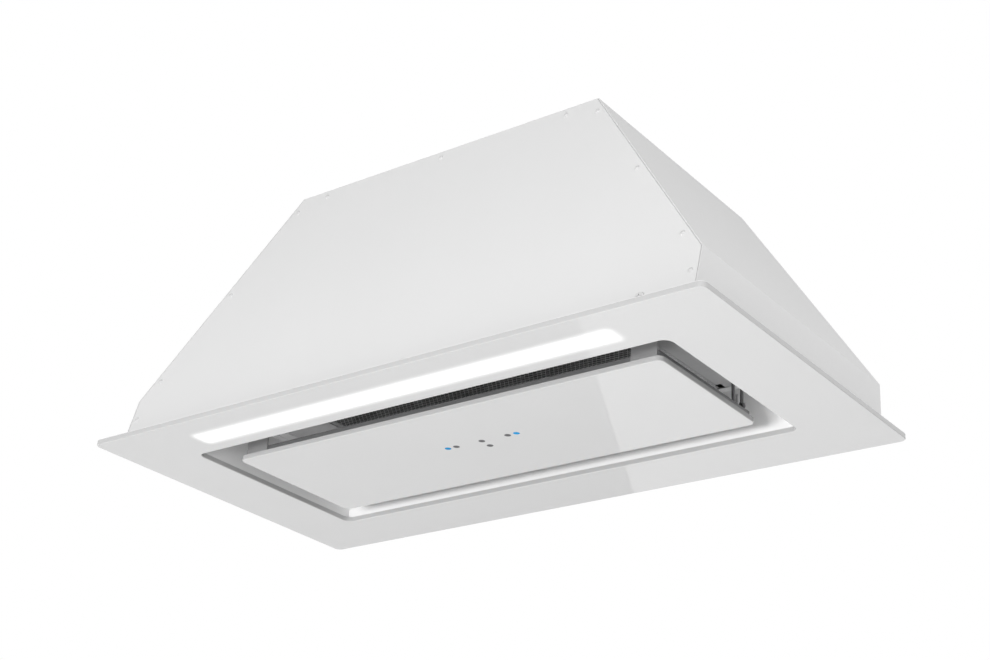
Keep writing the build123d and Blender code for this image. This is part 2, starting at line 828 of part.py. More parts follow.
def catch_brackets():
    """Upright sheet tabs on the tray's front rim, bent back at the top as strike plates."""
    face = -tray_depth / 2
    upright = block(catch_inner_x, catch_inner_x + catch_width, face - catch_sheet, face,
                    glass_thickness, catch_height)
    strike = block(catch_inner_x, catch_inner_x + catch_width, face - catch_sheet,
                   face + catch_strike_depth, catch_height - catch_sheet, catch_height)
    return both_sides(upright + strike)


def magnet_case():
    """Moulded cases under the shelf that hold the magnets."""
    face = -tray_depth / 2
    low = catch_height + catch_air_gap
    case = block(catch_inner_x, catch_inner_x + catch_width, face, face + magnet_case_depth, low, recess_top)
    return both_sides(case - magnets()[0])


def magnets():
    """Round magnets let into the cases."""
    face = -tray_depth / 2
    low = catch_height + catch_air_gap
    place = Pos(catch_inner_x + catch_width / 2, face + catch_strike_depth / 2, low)
    magnet = place * Cylinder(magnet_radius, magnet_height, align=(Align.CENTER, Align.CENTER, Align.MIN))
    return both_sides(magnet)


def light_diffuser():
    """Acrylic strip in the base plate's window, seated on its edges."""
    half_x = light_length / 2
    half_y = light_width / 2
    over = diffuser_overlap
    gap = lens_clearance
    strip = block(-half_x - over, half_x + over, light_y - half_y - over, light_y + half_y + over,
                  base_top, base_top + diffuser_thickness)
    strip += block(-half_x + gap, half_x - gap, light_y - half_y + gap, light_y + half_y - gap,
                   glass_thickness, base_top)
    return strip


def light_channel():
    """Aluminium channel over the diffuser, open downwards."""
    half_x = light_length / 2 + diffuser_overlap + lens_clearance
    half_y = light_width / 2 + diffuser_overlap + lens_clearance
    wall = channel_wall
    top = base_top + channel_height
    channel = block(-half_x - wall, half_x + wall, light_y - half_y - wall, light_y + half_y + wall,
                    base_top, top)
    channel -= block(-half_x, half_x, light_y - half_y, light_y + half_y, base_top, top - wall)
    return channel


def light_board():
    """Long circuit board under the channel's roof."""
    half_x = light_length / 2 - light_board_end
    top = base_top + channel_height - channel_wall
    return block(-half_x, half_x, light_y - light_board_width / 2, light_y + light_board_width / 2,
                 top - light_board_thickness, top)


def light_chips():
    """Row of square light sources on the board."""
    top = base_top + channel_height - channel_wall - light_board_thickness
    half = light_chip_size / 2
    pitch = light_length / light_chip_count
    chips = []
    for number in range(light_chip_count):
        x = (number + 0.5) * pitch - light_length / 2
        chips.append(block(x - half, x + half, light_y - half, light_y + half, top - light_chip_height, top))
    return chips


def light_driver():
    """Power supply of the light, on the base plate beside the recess."""
    half_y = driver_length / 2
    case = block(driver_x - driver_width / 2, driver_x + driver_width / 2, -half_y, half_y,
                 base_top, base_top + driver_height)
    return fillet(case.edges().filter_by(Axis.Z), cover_wall)


def scroll_centres():
    """Centres and radii of the scroll's three quarter arcs."""
    half = scroll_step / 2
    first = (blower_y - half, blower_z - half)
    second = (blower_y + half, blower_z - half)
    third = (blower_y + half, blower_z + half)
    radii = [scroll_first_radius + number * scroll_step for number in range(3)]
    return list(zip((first, second, third), radii))


def outlet_range():
    """Y of the outlet's front and rear walls."""
    tongue = scroll_centres()[0][0][0] + tongue_offset + tongue_radius
    (centre, _), radius = scroll_centres()[2]
    return tongue, centre + radius


def scroll_outline():
    """Inside outline of the scroll in (y, z), from the tongue round to the outlet."""
    first, second, third = scroll_centres()
    arcs = []
    for number, (centre, radius) in enumerate((first, second, third)):
        arcs.append(CenterArc(centre, radius, 90 + 90 * number, 90))
    start = arcs[0] @ 0
    end = arcs[2] @ 1
    top = top_under - panel_sheet
    low_y = outlet_range()[0]
    corner = (low_y, start.Y + tongue_radius)
    mouth = Polyline((end.X, end.Y), (end.X, top), (low_y, top), corner)
    tongue = CenterArc((low_y - tongue_radius, corner[1]), tongue_radius, -90, 90)
    roof = Line((start.X, start.Y), (low_y - tongue_radius, start.Y))
    return make_face(arcs + [mouth, tongue, roof])


def scroll_band():
    """Curved wall of the scroll between its two side plates."""
    inside = scroll_outline()
    ring = offset(inside, scroll_sheet, kind=Kind.INTERSECTION) - inside
    band = extrude(Plane.YZ.offset(-scroll_half_width) * ring, 2 * scroll_half_width)
    top = top_under - panel_sheet
    y_low, y_high = outlet_range()
    return band - block(-scroll_half_width, scroll_half_width, y_low - scroll_sheet, y_high + scroll_sheet,
                        top, top + 2 * scroll_sheet)


def on_blower(x):
    """A plane across the blower's axis at x, its Z axis along +X."""
    return Plane(origin=(x, blower_y, blower_z), x_dir=(0, 1, 0), z_dir=(1, 0, 0))


def scroll_sides():
    """Two flat side plates of the scroll, each with an inlet hole."""
    top = top_under - panel_sheet
    outline = offset(scroll_outline(), scroll_sheet, kind=Kind.INTERSECTION)
    plate = extrude(Plane.YZ.offset(scroll_half_width) * outline, scroll_sheet)
    plate -= block(0, half_housing, -frame_depth, frame_depth, top, housing_top)
    hole = Circle(bell_throat_radius + bell_radius + bell_hole_gap)
    plate -= extrude(on_blower(scroll_half_width - scroll_sheet) * hole, 4 * scroll_sheet)
    return both_sides(plate)


def inlet_bells():
    """Rounded inlet rings that lead the air into the impeller."""
    face = scroll_half_width + scroll_sheet
    rim = bell_throat_radius + bell_radius
    outer_arc = CenterArc((rim, face + bell_sheet - bell_radius), bell_radius, 90, 90)
    inner_arc = CenterArc((rim, face + bell_sheet - bell_radius), bell_radius - bell_sheet, 90, 90)
    end = rim + bell_flange
    flange = Polyline(inner_arc @ 0, (end, face), (end, face + bell_sheet), outer_arc @ 0)
    throat = Line(inner_arc @ 1, outer_arc @ 1)
    section = make_face([outer_arc, inner_arc, flange, throat])
    upright = Plane(origin=(0, blower_y, blower_z), x_dir=(0, 1, 0), z_dir=(0, 0, -1))
    bell = revolve(upright * section, Axis((0, blower_y, blower_z), (1, 0, 0)))
    return both_sides(bell)


def outlet_flange_plate():
    """Flange round the scroll's mouth, screwed up against the top panel."""
    y_low, y_high = outlet_range()
    rim = scroll_half_width + outlet_flange
    low = top_under - panel_sheet
    plate = block(-rim, rim, y_low - outlet_flange, y_high + outlet_flange, low, top_under)
    plate -= block(-scroll_half_width, scroll_half_width, y_low, y_high, low, top_under)
    return drilled(plate, plate_screw_planes(), screw_shank_radius)


def impeller():
    """Moulded wheel: forward-curved blades on both sides of one disc, with end rings."""
    turn = blade_sweep_degrees
    thick = math.degrees(blade_thickness / impeller_radius)
    middle = (blade_inner_radius + impeller_radius) / 2

    def at(radius, angle):
        return (radius * math.cos(math.radians(angle)), radius * math.sin(math.radians(angle)))

    lead = ThreePointArc(at(blade_inner_radius, 0), at(middle, 0.2 * turn), at(impeller_radius, turn))
    trail = ThreePointArc(at(blade_inner_radius, thick), at(middle, 0.2 * turn + thick),
                          at(impeller_radius, turn + thick))
    blade = make_face([lead, Line(lead @ 1, trail @ 1), trail, Line(trail @ 0, lead @ 0)])
    blades = [Rot(0, 0, number * 360 / blade_count) * blade for number in range(blade_count)]
    ring_sketch = Circle(impeller_radius + impeller_ring_width / 4)
    ring_sketch -= Circle(impeller_radius - impeller_ring_width)
    disc_sketch = Circle(impeller_radius) - Circle(hub_radius)
    wheel = extrude(on_blower(-impeller_disc / 2) * disc_sketch, impeller_disc)
    half = impeller_half_width
    wheel += [extrude(on_blower(-half) * shape, 2 * half) for shape in blades]
    for start in (-half, half - impeller_ring_width):
        wheel += extrude(on_blower(start) * ring_sketch, impeller_ring_width)
    return wheel


def impeller_hub():
    """Turned hub that joins the wheel to the shaft."""
    ring = Circle(hub_radius) - Circle(shaft_radius)
    return extrude(on_blower(-hub_half_length) * ring, 2 * hub_half_length)


def motor_face():
    """X of the motor's mounting face, left of the scroll."""
    return -(scroll_half_width + scroll_sheet + bell_sheet + spider_standoff + spider_sheet)


def impeller_shaft():
    """Shaft from inside the motor to just past the hub."""
    start = motor_face() - motor_bore_depth + shaft_overhang
    end = hub_half_length + shaft_overhang
    return extrude(on_blower(start) * Circle(shaft_radius), end - start)


def motor():
    """Closed motor with rounded end bells and a bearing bore."""
    face = motor_face()
    body = extrude(on_blower(face - motor_length) * Circle(motor_radius), motor_length)
    body = fillet(body.edges().filter_by(GeomType.CIRCLE), motor_edge)
    bore = Circle(shaft_radius + shaft_clearance)
    return body - extrude(on_blower(face - motor_bore_depth) * bore, motor_bore_depth)


def motor_spider():
    """Three-armed plate between the motor and the left inlet ring."""
    face = motor_face()
    plate = Circle(spider_ring_radius)
    for number in range(3):
        arm = Pos(spider_reach / 2, 0) * Rectangle(spider_reach, spider_arm_width)
        plate += Rot(0, 0, 90 + 120 * number) * arm
    plate -= Circle(hub_radius)
    spider = extrude(on_blower(face) * plate, spider_sheet)
    for number in range(3):
        foot = Pos(spider_reach - spider_sheet / 2, 0) * Rectangle(spider_sheet, spider_arm_width)
        turned = Rot(0, 0, 90 + 120 * number) * foot
        spider += extrude(on_blower(face) * turned, spider_sheet + spider_standoff)
    return spider


def axle_level():
    """Z of the flaps' axle."""
    return housing_top + axle_height


def outlet_spigot():
    """Round collar on a square plate, with a narrow ledge that the flaps close on."""
    up = (Align.CENTER, Align.CENTER, Align.MIN)
    place = Pos(0, spigot_y, housing_top)
    plate = Box(spigot_plate, spigot_plate, spigot_plate_sheet, align=up)
    plate = fillet(plate.edges().filter_by(Axis.Z), plate_screw_inset)
    spigot = plate + Cylinder(spigot_radius, spigot_height, align=up)
    bore = spigot_radius - spigot_wall
    spigot -= Cylinder(bore, spigot_height, align=up)
    ledge_top = axle_height - flap_drop - stop_gap
    ledge = Cylinder(bore, stop_sheet, align=up) - Cylinder(bore - stop_width, stop_sheet, align=up)
    spigot += Pos(0, 0, ledge_top - stop_sheet) * ledge
    spigot -= Pos(0, 0, axle_height) * Rot(0, 90, 0) * Cylinder(axle_radius, 3 * spigot_radius)
    return drilled(place * spigot, plate_screw_planes(), screw_shank_radius)


def plate_screw_planes():
    """Planes of the screws at the corners of the spigot's plate."""
    reach = spigot_plate / 2 - plate_screw_inset
    level = housing_top + spigot_plate_sheet
    corners = [(sx * reach, spigot_y + sy * reach) for sx in (-1, 1) for sy in (-1, 1)]
    return [Plane(origin=(x, y, level)) for x, y in corners]


def damper_axle():
    """Rod across the collar that both flaps turn on."""
    rod = Rot(0, 90, 0) * Cylinder(axle_radius, 2 * spigot_radius)
    return Pos(0, spigot_y, axle_level()) * rod


def flap(side):
    """Half-round flap with knuckles on the axle; side is -1 for the front, 1 for the rear."""
    radius = spigot_radius - spigot_wall - flap_edge_gap
    disc = Circle(radius) & Pos(0, side * (radius + flap_split_gap)) * Rectangle(2 * radius, 2 * radius)
    plate = extrude(Pos(0, 0, -flap_drop) * disc, flap_sheet)
    step = knuckle_length + knuckle_gap
    first = 0 if side < 0 else 1
    for number in range(-3, 4):
        if (number + first) % 2:
            continue
        centre = Pos(number * step, 0, 0)
        plate += centre * Rot(0, 90, 0) * Cylinder(knuckle_radius, knuckle_length)
        web_end = side * (flap_split_gap + flap_sheet)
        web = block(-knuckle_length / 2, knuckle_length / 2, min(0, web_end), max(0, web_end),
                    -flap_drop, flap_sheet - flap_drop)
        plate += centre * web
    plate -= Rot(0, 90, 0) * Cylinder(axle_radius + axle_clearance, 3 * spigot_radius)
    return Pos(0, spigot_y, axle_level()) * plate


def control_box():
    """Moulded box under the top panel, open at the bottom."""
    half_x = control_width / 2
    half_y = control_depth / 2
    low = top_under - control_height
    wall = control_wall
    box = block(control_x - half_x, control_x + half_x, -half_y, half_y, low, top_under)
    box = fillet(box.edges().filter_by(Axis.Z), 2 * wall)
    box -= block(control_x - half_x + wall, control_x + half_x - wall, -half_y + wall, half_y - wall,
                 low, top_under - wall)
    return box


def control_cover():
    """Lid of the control box."""
    low = top_under - control_height - control_lid
    lid = block(control_x - control_width / 2, control_x + control_width / 2, -control_depth / 2,
                control_depth / 2, low, low + control_lid)
    return fillet(lid.edges().filter_by(Axis.Z), 2 * control_wall)


def control_board():
    """Circuit board inside the control box."""
    inset = 2 * control_wall
    half_x = control_width / 2 - inset
    half_y = control_depth / 2 - inset
    low = top_under - control_height + control_board_lift
    return block(control_x - half_x, control_x + half_x, -half_y, half_y, low, low + control_board_sheet)


def board_rests():
    """Spacers that hold the control board off the roof of its box."""
    inset = 4 * control_wall
    low = top_under - control_height + control_board_lift + control_board_sheet
    length = top_under - control_wall - low
    post = Cylinder(post_radius, length, align=(Align.CENTER, Align.CENTER, Align.MIN))
    x = control_width / 2 - inset
    y = control_depth / 2 - inset
    return [Pos(control_x + sx * x, sy * y, low) * post for sx in (-1, 1) for sy in (-1, 1)]


def capacitor():
    """Motor capacitor that hangs from the top panel."""
    down = (Align.CENTER, Align.CENTER, Align.MAX)
    can = Cylinder(capacitor_radius, capacitor_height, align=down)
    can = fillet(can.edges().sort_by(Axis.Z)[0], control_wall)
    return Pos(capacitor_x, service_y, top_under) * can


def cable_gland():
    """Threaded gland through the top panel, with its domed cap above."""
    up = (Align.CENTER, Align.CENTER, Align.MIN)
    cap = extrude(RegularPolygon(gland_radius, 6), gland_height / 2)
    dome = Cylinder(gland_radius * 0.8, gland_height, align=up)
    dome = fillet(dome.edges().sort_by(Axis.Z)[-1], gland_height / 4)
    thread = 2 * gland_nut_height + panel_sheet
    body = cap + dome + Pos(0, 0, -thread) * Cylinder(gland_thread_radius, thread, align=up)
    body -= Cylinder(gland_bore_radius, 4 * gland_height)
    return Pos(gland_x, service_y, housing_top) * body


def gland_nut():
    """Hexagonal nut that holds the gland from inside."""
    nut = RegularPolygon(gland_radius, 6) - Circle(gland_thread_radius)
    return extrude(Pos(gland_x, service_y, top_under - gland_nut_height) * nut, gland_nut_height)


def on_planes(piece, planes):
    """Copies of one fastener, one on each plane."""
    return [plane * piece for plane in planes]


parts = {
    "glass_frame": glass_frame(),
    "base_plate": base_plate(),
    "cabinet_seal": cabinet_seal(),
    "front_panel": front_panel(),
    "rear_panel": rear_panel(),
    "right_side_panel": side_panel(),
    "left_side_panel": mirror(side_panel(), about=Plane.YZ),
    "top_panel": top_panel(),
    "top_angles": [top_angle(panel_sheet, "front"), top_angle(panel_sheet, "rear")],
    "panel_rivets": on_planes(rivet(), rivet_planes()),
    "panel_screws": on_planes(pan_screw(panel_screw_length), screw_planes()),
    "recess_long_walls": recess_long_walls(),
    "recess_short_walls": recess_short_walls(),
    "filter_shelf": filter_shelf(),
    "shelf_rails": shelf_rails(),
    "filter_springs": filter_springs(),
    "hinge_hangers": hinge_hangers(),
    "magnet_cases": magnet_case(),
    "catch_magnets": magnets(),
    "light_diffuser": light_diffuser(),
    "light_channel": light_channel(),
    "light_board": light_board(),
    "light_chips": light_chips(),
    "light_driver": light_driver(),
    "scroll_band": scroll_band(),
    "scroll_sides": scroll_sides(),
    "inlet_bells": inlet_bells(),
    "outlet_flange": outlet_flange_plate(),
    "motor": motor(),
    "motor_spider": motor_spider(),
    "outlet_spigot": outlet_spigot(),
    "spigot_screws": on_planes(pan_screw(plate_screw_length), plate_screw_planes()),
    "damper_axle": damper_axle(),
    "control_box": control_box(),
    "control_cover": control_cover(),
    "control_board": control_board(),
    "board_rests": board_rests(),
    "capacitor": capacitor(),
    "cable_gland": cable_gland(),
    "gland_nut": gland_nut(),
    "panel_glass": panel_glass(),
    "panel_tray": panel_tray(),
    "signal_lenses": lenses("signal"),
    "sensor_lenses": lenses("sensor"),
    "board_posts": board_posts(),
    "sensor_board": sensor_board(),
    "sensor_cover": sensor_cover(),
    "hinge_lugs": hinge_lugs(),
    "hinge_pins": hinge_pins(),
    "catch_brackets": catch_brackets(),
    "filter_frame": filter_frame(),
    "filter_mesh": filter_mesh(),
    "filter_pad": filter_pad(),
    "filter_retainers": filter_retainers(),
    "impeller": impeller(),
    "impeller_hub": impeller_hub(),
    "impeller_shaft": impeller_shaft(),
    "front_flap": flap(-1),
    "rear_flap": flap(1),
}

os.makedirs("parts", exist_ok=True)
for name, shape in parts.items():
    solids = shape if isinstance(shape, list) else [shape]
    pieces = [solid for item in solids for solid in item.solids()]
    body = pieces[0] if len(pieces) == 1 else Compound(children=pieces)
    export_step(body, f"parts/{name}.step")
    print(name, len(pieces), "solid(s)", round(sum(piece.volume for piece in pieces)), "mm3")
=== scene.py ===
# %% [markdown]
# # A built-in range hood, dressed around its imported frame
#
# The hood hangs above a cooktop and is seen from below: a white glass frame with a glowing
# strip, a glass suction panel in its cut-out, and a white sheet-metal housing that tapers to
# the duct. The jointed solids are already there as the frame. This lesson lights them, gives
# them their finishes, and weaves the filter's fine mesh, which solids are too coarse for.

# %% Load the frame
import json
import math

import bmesh
import bpy
from mathutils import Matrix, Vector


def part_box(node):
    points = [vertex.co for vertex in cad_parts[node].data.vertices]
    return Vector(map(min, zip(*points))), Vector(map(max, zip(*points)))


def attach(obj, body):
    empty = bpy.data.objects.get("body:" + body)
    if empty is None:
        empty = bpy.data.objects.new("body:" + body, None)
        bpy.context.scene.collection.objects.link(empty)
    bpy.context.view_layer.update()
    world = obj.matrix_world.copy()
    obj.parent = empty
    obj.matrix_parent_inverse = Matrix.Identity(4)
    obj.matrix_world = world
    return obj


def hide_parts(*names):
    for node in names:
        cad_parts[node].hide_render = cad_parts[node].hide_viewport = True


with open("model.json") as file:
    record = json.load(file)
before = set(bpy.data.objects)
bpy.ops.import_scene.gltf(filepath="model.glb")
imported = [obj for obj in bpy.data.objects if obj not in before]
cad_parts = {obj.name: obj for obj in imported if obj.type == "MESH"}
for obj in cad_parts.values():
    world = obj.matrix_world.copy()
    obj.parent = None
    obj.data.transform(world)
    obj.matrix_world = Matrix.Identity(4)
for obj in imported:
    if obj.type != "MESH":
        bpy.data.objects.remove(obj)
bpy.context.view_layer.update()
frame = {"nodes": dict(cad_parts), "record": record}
bpy.context.scene.view_settings.view_transform = "Standard"
nodes = frame["nodes"]
mm = 0.001

# %% [markdown]
# ## Camera
#
# The camera stands low, to the right and in front of the hood, and looks up at it. A camera
# could be aimed with a Track To constraint, but then its roll can't be set. Here its axes are
# worked out from a heading, a climb and a small roll, and written into one matrix. The numbers
# come from fitting the glass frame's corners to the photograph.

# %% Place the camera
camera_place = Vector((1.22832, -1.56249, -0.78218))
camera_heading = math.radians(38.089)
camera_climb = math.radians(25.162)
camera_roll = math.radians(3.444)
sensor_width = 36.0
image_width = 990
focal_pixels = 1766.25

forward = Vector((-math.sin(camera_heading) * math.cos(camera_climb),
                  math.cos(camera_heading) * math.cos(camera_climb),
                  math.sin(camera_climb)))
level_right = forward.cross(Vector((0, 0, 1))).normalized()
level_up = level_right.cross(forward)
camera_right = level_right * math.cos(camera_roll) + level_up * math.sin(camera_roll)
camera_up = level_up * math.cos(camera_roll) - level_right * math.sin(camera_roll)

camera = bpy.data.objects.new("camera", bpy.data.cameras.new("camera"))
camera.data.sensor_width = sensor_width
camera.data.lens = sensor_width * focal_pixels / image_width
camera.matrix_world = Matrix((camera_right, camera_up, -forward)).transposed().to_4x4()
camera.location = camera_place
bpy.context.scene.collection.objects.link(camera)
bpy.context.scene.camera = camera
print("lens in mm:", round(camera.data.lens, 2))

# %% [markdown]
# ## Stage and light
#
# The hood is white on white, so its shape shows only where the light falls off. A wide lamp
# low in front lifts the front panel, and a weaker one leaves the sloping right side a little
# darker. Two more look up at the glass, because a pale floor alone leaves an underside grey: one
# from the left, and one under the camera, which reaches into the gap around the panel. A fifth
# lights the back, which the camera doesn't see, at the same plain level. The lamps are hidden
# from glossy rays, or the polished edges would mirror them. One even sky would be simpler, but
# it would leave every white face the same.

# %% Build the stage
floor_level = -2.1
floor_size = 14.0
floor_white = (0.8, 0.8, 0.8, 1.0)
floor_roughness = 0.9
full_white = (1.0, 1.0, 1.0, 1.0)
ambient_strength = 0.375
background_strength = 1.0


def lit_world():
    """White backdrop for camera, glossy and transmission rays; a plain level for the rest."""
    world = bpy.data.worlds.new("studio")
    bpy.context.scene.world = world
    world.use_nodes = True
    tree = world.node_tree
    tree.nodes.clear()
    path = tree.nodes.new("ShaderNodeLightPath")
    seen = tree.nodes.new("ShaderNodeMath")
    seen.operation = "MAXIMUM"
    seen_or_through = tree.nodes.new("ShaderNodeMath")
    seen_or_through.operation = "MAXIMUM"
    ambient = tree.nodes.new("ShaderNodeBackground")
    ambient.inputs["Color"].default_value = full_white
    ambient.inputs["Strength"].default_value = ambient_strength
    backdrop = tree.nodes.new("ShaderNodeBackground")
    backdrop.inputs["Color"].default_value = full_white
    backdrop.inputs["Strength"].default_value = background_strength
    mix = tree.nodes.new("ShaderNodeMixShader")
    output = tree.nodes.new("ShaderNodeOutputWorld")
    tree.links.new(path.outputs["Is Camera Ray"], seen.inputs[0])
    tree.links.new(path.outputs["Is Glossy Ray"], seen.inputs[1])
    tree.links.new(seen.outputs[0], seen_or_through.inputs[0])
    tree.links.new(path.outputs["Is Transmission Ray"], seen_or_through.inputs[1])
    tree.links.new(seen_or_through.outputs[0], mix.inputs["Fac"])
    tree.links.new(ambient.outputs[0], mix.inputs[1])
    tree.links.new(backdrop.outputs[0], mix.inputs[2])
    tree.links.new(mix.outputs[0], output.inputs["Surface"])


def plain_floor():
    """A pale floor far below the hood."""
    shape = bmesh.new()
    bmesh.ops.create_grid(shape, x_segments=1, y_segments=1, size=floor_size / 2)
    bmesh.ops.translate(shape, vec=(0, 0, floor_level), verts=shape.verts)
    mesh = bpy.data.meshes.new("floor")
    shape.to_mesh(mesh)
    shape.free()
    floor = bpy.data.objects.new("floor", mesh)
    bpy.context.scene.collection.objects.link(floor)
    material = bpy.data.materials.new("pale floor")
    material.use_nodes = True
    shader = material.node_tree.nodes["Principled BSDF"]
    shader.inputs["Base Color"].default_value = floor_white
    shader.inputs["Roughness"].default_value = floor_roughness
    mesh.materials.append(material)


def soft_box(name, size, power, pose):
    """A rectangular lamp in a given pose, which the camera doesn't see."""
    lamp = bpy.data.objects.new(name, bpy.data.lights.new(name, "AREA"))
    lamp.data.shape = "RECTANGLE"
    lamp.data.size, lamp.data.size_y = size
    lamp.data.energy = power
    lamp.matrix_world = pose
    lamp.visible_camera = False
    bpy.context.scene.collection.objects.link(lamp)
    return lamp


def aimed_lamp(name, place, target, size, power):
    """A soft box that faces a target and isn't mirrored by the glass."""
    aim = (Vector(target) - Vector(place)).to_track_quat("-Z", "Y")
    lamp = soft_box(name, size, power, Matrix.Translation(place) @ aim.to_matrix().to_4x4())
    lamp.visible_glossy = False
    return lamp


lit_world()
plain_floor()
hood_middle = (0.0, 0.0, 0.15)
glass_middle = (0.0, 0.0, 0.0)
aimed_lamp("low_left", (-1.6, 0.7, -1.1), glass_middle, (1.0, 1.0), 10.0)
aimed_lamp("low_front", (0.1, -3.5, -1.2), glass_middle, (1.8, 0.7), 94.0)
aimed_lamp("low_right", (0.6, -1.0, -1.45), glass_middle, (0.5, 0.5), 2.8)
aimed_lamp("right", (2.8, -0.2, 0.5), hood_middle, (1.6, 1.2), 32.0)
aimed_lamp("rear_left", (-1.7, 2.6, 1.7), hood_middle, (1.8, 1.2), 62.0)
print("stage: floor at", floor_level, "m")

# %% [markdown]
# ## What the glass mirrors
#
# A faint slanting border crosses the glass: left of it the mirrored studio is darker. Painting
# it would be wrong from every other side, so a soft box lies low behind the hood, facing up,
# with its left edge where the border's mirror image falls. It is too far off to light much.

# %% Lay the mirrored soft box
mirror_level = -1.5
border_near = Vector((-1.476, 2.264, mirror_level))
border_far = Vector((-2.169, 3.670, mirror_level))
mirror_length = 2.2
mirror_width = 1.1
mirror_power = 3.8

along = (border_far - border_near).normalized()
across = along.cross(Vector((0, 0, 1)))
mirror_middle = (border_near + border_far) / 2 + across * mirror_width / 2
facing_up = Matrix((along, across, Vector((0, 0, -1)))).transposed().to_4x4()
mirror_pose = Matrix.Translation(mirror_middle) @ facing_up
soft_box("mirrored", (mirror_length, mirror_width), mirror_power, mirror_pose)
print("mirrored soft box at", [round(value, 2) for value in mirror_middle])

# %% [markdown]
# ## Building blocks for the finishes
#
# Every finish is a Principled shader with a little life in it. What several finishes share is
# a node group with named sockets: it puts out a tone, a roughness or a height that changes
# over the surface, and each material decides how strongly to use it.

# %% Node helpers


def new_group(name, inputs, outputs):
    """An empty shader group with its sockets and its input and output nodes."""
    group = bpy.data.node_groups.new(name, "ShaderNodeTree")
    for label, kind, value in inputs:
        socket = group.interface.new_socket(label, in_out="INPUT", socket_type=kind)
        if value is not None:
            socket.default_value = value
    for label, kind in outputs:
        group.interface.new_socket(label, in_out="OUTPUT", socket_type=kind)
    return group, group.nodes.new("NodeGroupInput"), group.nodes.new("NodeGroupOutput")


def math_node(tree, operation, first, second):
    """A Math node; each operand is a socket or a number."""
    node = tree.nodes.new("ShaderNodeMath")
    node.operation = operation
    for index, operand in enumerate((first, second)):
        if isinstance(operand, (int, float)):
            node.inputs[index].default_value = operand
        elif operand is not None:
            tree.links.new(operand, node.inputs[index])
    return node.outputs[0]


def noise_node(tree, vector, scale, detail, roughness):
    """A noise texture's value output; scale may be a socket."""
    node = tree.nodes.new("ShaderNodeTexNoise")
    tree.links.new(vector, node.inputs["Vector"])
    if isinstance(scale, (int, float)):
        node.inputs["Scale"].default_value = scale
    else:
        tree.links.new(scale, node.inputs["Scale"])
    node.inputs["Detail"].default_value = detail
    node.inputs["Roughness"].default_value = roughness
    return node.outputs[0]


def ranged(tree, value, low, high, out_low, out_high):
    """A Map Range node from one span of numbers to another, clamped."""
    node = tree.nodes.new("ShaderNodeMapRange")
    tree.links.new(value, node.inputs["Value"])
    node.inputs["From Min"].default_value = low
    node.inputs["From Max"].default_value = high
    node.inputs["To Min"].default_value = out_low
    node.inputs["To Max"].default_value = out_high
    return node.outputs["Result"]


def stretched(tree, vector, scale):
    """The same coordinates, multiplied on each axis."""
    node = tree.nodes.new("ShaderNodeVectorMath")
    node.operation = "MULTIPLY"
    tree.links.new(vector, node.inputs[0])
    node.inputs[1].default_value = scale
    return node.outputs[0]


# %% [markdown]
# ## Shared effects
#
# Powder coat has a fine pebble and very faint clouds. Rolled sheet has long streaks along the
# rolling direction. Moulded plastic has a sand-like grain. The filter's pad of crumpled foil
# has cells painted light and dark, as painted facet light. The light behind the glass shows as
# a soft window, a rectangle that fades around its edge. Images could hold all of these, but
# nodes stay sharp at any distance.

# %% Build the shared effects


def powder_coat_group():
    """Faint clouds and a pebble of a given size."""
    group, start, end = new_group(
        "powder coat",
        [("Vector", "NodeSocketVector", None), ("Pebbles per metre", "NodeSocketFloat", 900.0)],
        [("Tone", "NodeSocketFloat"), ("Roughness", "NodeSocketFloat"), ("Height", "NodeSocketFloat")])
    vector = start.outputs["Vector"]
    clouds = noise_node(group, vector, 5.0, 2.0, 0.5)
    pebble = noise_node(group, vector, start.outputs["Pebbles per metre"], 2.0, 0.6)
    tone = ranged(group, clouds, 0.3, 0.7, 0.985, 1.0)
    group.links.new(tone, end.inputs["Tone"])
    group.links.new(ranged(group, clouds, 0.3, 0.7, 0.58, 0.66), end.inputs["Roughness"])
    group.links.new(pebble, end.inputs["Height"])
    return group


def rolled_sheet_group():
    """Streaks along X, broken up by slow patches."""
    group, start, end = new_group(
        "rolled sheet",
        [("Vector", "NodeSocketVector", None), ("Contrast", "NodeSocketFloat", 0.12)],
        [("Tone", "NodeSocketFloat"), ("Roughness", "NodeSocketFloat"), ("Height", "NodeSocketFloat")])
    vector = start.outputs["Vector"]
    streaks = noise_node(group, stretched(group, vector, (14.0, 900.0, 900.0)), 1.0, 3.0, 0.6)
    patches = noise_node(group, vector, 22.0, 3.0, 0.55)
    blend = math_node(group, "ADD", math_node(group, "MULTIPLY", streaks, 0.7),
                      math_node(group, "MULTIPLY", patches, 0.3))
    centred = math_node(group, "SUBTRACT", blend, 0.5)
    swing = math_node(group, "MULTIPLY", centred, start.outputs["Contrast"])
    group.links.new(math_node(group, "ADD", math_node(group, "MULTIPLY", swing, 2.0), 1.0),
                    end.inputs["Tone"])
    group.links.new(ranged(group, blend, 0.3, 0.7, 0.28, 0.42), end.inputs["Roughness"])
    group.links.new(streaks, end.inputs["Height"])
    return group


def moulded_grain_group():
    """Sand-like grain of moulded plastic."""
    group, start, end = new_group(
        "moulded grain",
        [("Vector", "NodeSocketVector", None)],
        [("Tone", "NodeSocketFloat"), ("Roughness", "NodeSocketFloat"), ("Height", "NodeSocketFloat")])
    vector = start.outputs["Vector"]
    grain = noise_node(group, vector, 1500.0, 2.0, 0.6)
    flow = noise_node(group, vector, 30.0, 2.0, 0.5)
    group.links.new(ranged(group, flow, 0.3, 0.7, 0.9, 1.1), end.inputs["Tone"])
    group.links.new(ranged(group, flow, 0.3, 0.7, 0.42, 0.56), end.inputs["Roughness"])
    group.links.new(grain, end.inputs["Height"])
    return group


